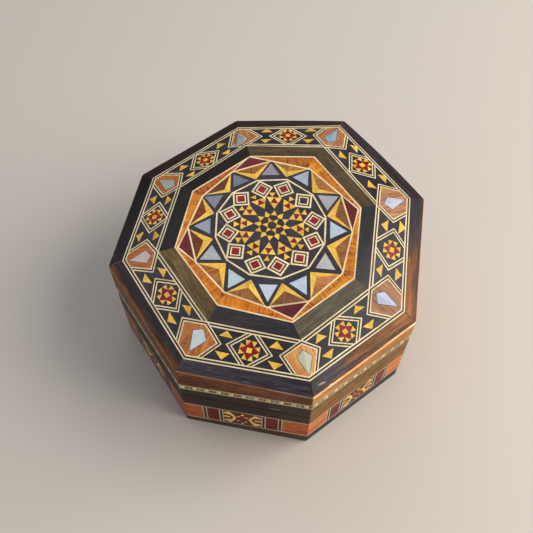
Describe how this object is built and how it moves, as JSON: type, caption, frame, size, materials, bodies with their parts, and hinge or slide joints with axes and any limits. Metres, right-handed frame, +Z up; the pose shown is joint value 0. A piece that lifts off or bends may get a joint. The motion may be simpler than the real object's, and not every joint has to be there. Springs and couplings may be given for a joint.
{
  "type": "marquetry box",
  "caption": "Eight-sided wooden keepsake box with a lift-off lid, inlaid with geometric marquetry and mother of pearl.",
  "frame": {"origin": "middle of the underside's bounding rectangle, on the surface the box stands on", "axes": "+Z up through the lid, -Y out of the front side, +X to the right as the front is seen"},
  "size_m": [0.1496, 0.1606, 0.0719],
  "materials": {
    "bare_wood": "bare walnut, sanded and oiled",
    "stained_walnut": "dark walnut under worn varnish",
    "olive_wood": "golden brown wood with fine grain, varnished",
    "brown_veneer": "brown veneer, varnished, the bevel above stained near black and worn",
    "stained_wood": "wood stained near black to olive, satin varnish",
    "star_marquetry": "tiles of yellow, red, brown and black wood and mother of pearl, flush, glossy varnish",
    "side_marquetry": "terracotta, burgundy, cream and black wood tiles, flush, varnished",
    "terracotta_veneer": "terracotta brown veneer round a flake of mother of pearl, glossy varnish",
    "orange_veneer": "bright orange straight-grained veneer, glossy varnish",
    "mosaic_line": "end-cut mosaic rods of cream, black, red and green wood"
  },
  "bodies": {
    "root": {"floor": "bare_wood", "lining": "bare_wood", "wall_front": "stained_walnut", "inlay_front": "side_marquetry", "lid_side_front": "brown_veneer", "wall_front_right": "olive_wood", "inlay_front_right": "side_marquetry", "lid_side_front_right": "brown_veneer", "wall_right": "olive_wood", "inlay_right": "side_marquetry", "lid_side_right": "brown_veneer", "wall_back_right": "stained_walnut", "inlay_back_right": "side_marquetry", "lid_side_back_right": "brown_veneer", "wall_back": "stained_walnut", "inlay_back": "side_marquetry", "lid_side_back": "brown_veneer", "wall_back_left": "stained_walnut", "inlay_back_left": "side_marquetry", "lid_side_back_left": "brown_veneer", "wall_left": "stained_walnut", "inlay_left": "side_marquetry", "lid_side_left": "brown_veneer", "wall_front_left": "stained_walnut", "inlay_front_left": "side_marquetry", "lid_side_front_left": "brown_veneer", "lid_mosaic_line": "mosaic_line", "lid_board": "bare_wood", "band_front": "star_marquetry", "corner_1": "terracotta_veneer", "strip_front": "stained_wood", "band_front_right": "star_marquetry", "corner_2": "terracotta_veneer", "strip_front_right": "stained_wood", "band_right": "star_marquetry", "corner_3": "terracotta_veneer", "strip_right": "stained_wood", "band_back_right": "star_marquetry", "corner_4": "terracotta_veneer", "strip_back_right": "stained_wood", "band_back": "star_marquetry", "corner_5": "terracotta_veneer", "strip_back": "stained_wood", "band_back_left": "star_marquetry", "corner_6": "terracotta_veneer", "strip_back_left": "stained_wood", "band_left": "star_marquetry", "corner_7": "terracotta_veneer", "strip_left": "stained_wood", "band_front_left": "star_marquetry", "corner_8": "terracotta_veneer", "strip_front_left": "stained_wood", "middle_panel": "orange_veneer", "star": "star_marquetry"}
  },
  "joints": []
}
